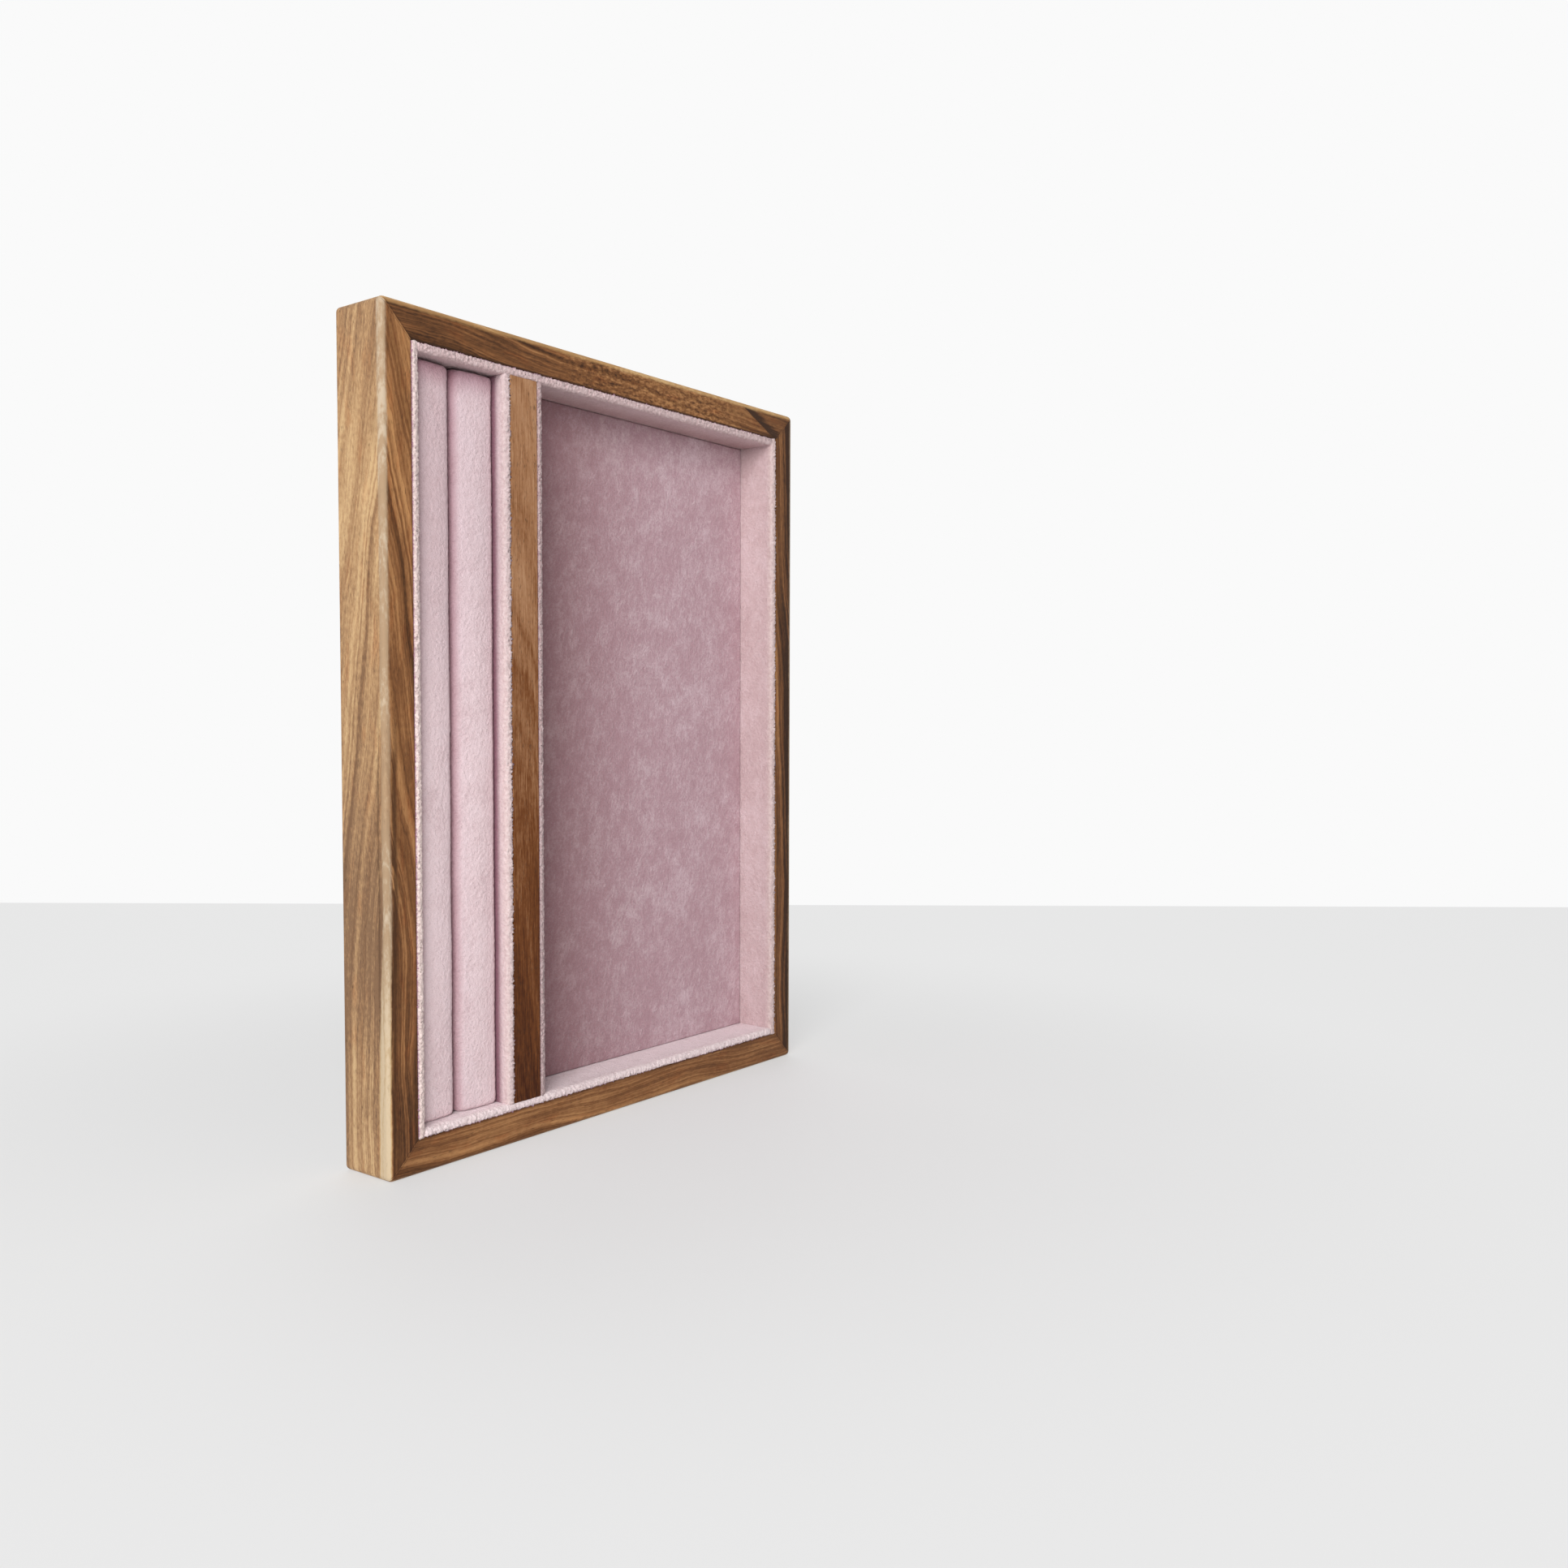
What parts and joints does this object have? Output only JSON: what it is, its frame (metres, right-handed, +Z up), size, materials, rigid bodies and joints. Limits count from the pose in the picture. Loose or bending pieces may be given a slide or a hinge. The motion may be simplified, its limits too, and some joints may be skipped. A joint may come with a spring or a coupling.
{
  "type": "jewelry display tray",
  "caption": "Velvet-lined wood display tray with a mitred frame, a flat compartment and a channel of padded ring rolls behind a wood divider, standing on its short edge.",
  "frame": {"origin": "middle of the bottom edge, halfway through the tray's depth", "axes": "+X to the right seen from the open side, +Y from the open front to the back, +Z up along the long side"},
  "size_m": [0.26, 0.028, 0.34],
  "materials": {
    "frame_wood": "satin",
    "divider_wood": "satin",
    "spline_wood": "matte",
    "panel_board": "matte",
    "base_felt": "matte",
    "stiff_card": "matte",
    "wall_velvet": "matte",
    "floor_velvet": "matte",
    "roll_velvet": "matte",
    "roll_foam": "matte",
    "pin_steel": "satin",
    "screw_steel": "satin"
  },
  "bodies": {
    "root": {"rail_bottom": "frame_wood", "rail_right": "frame_wood", "rail_top": "frame_wood", "rail_left": "frame_wood", "corner_spline_bottom_left": "spline_wood", "corner_spline_bottom_right": "spline_wood", "corner_spline_top_right": "spline_wood", "corner_spline_top_left": "spline_wood", "back_panel": "panel_board", "base_felt": "base_felt", "lining_card_left": "stiff_card", "lining_velvet_left": "wall_velvet", "lining_card_right": "stiff_card", "lining_velvet_right": "wall_velvet", "lining_card_top": "stiff_card", "lining_velvet_top": "wall_velvet", "lining_card_bottom": "stiff_card", "lining_velvet_bottom": "wall_velvet", "lining_card_divider_left": "stiff_card", "lining_velvet_divider_left": "wall_velvet", "lining_card_divider_right": "stiff_card", "lining_velvet_divider_right": "wall_velvet", "divider_bar": "divider_wood", "floor_card": "stiff_card", "floor_velvet": "floor_velvet", "ring_roll_card": "stiff_card", "ring_roll_foam_1": "roll_foam", "ring_roll_velvet_1": "roll_velvet", "ring_roll_foam_2": "roll_foam", "ring_roll_velvet_2": "roll_velvet", "panel_pins": "pin_steel", "divider_screws": "screw_steel"}
  },
  "joints": []
}
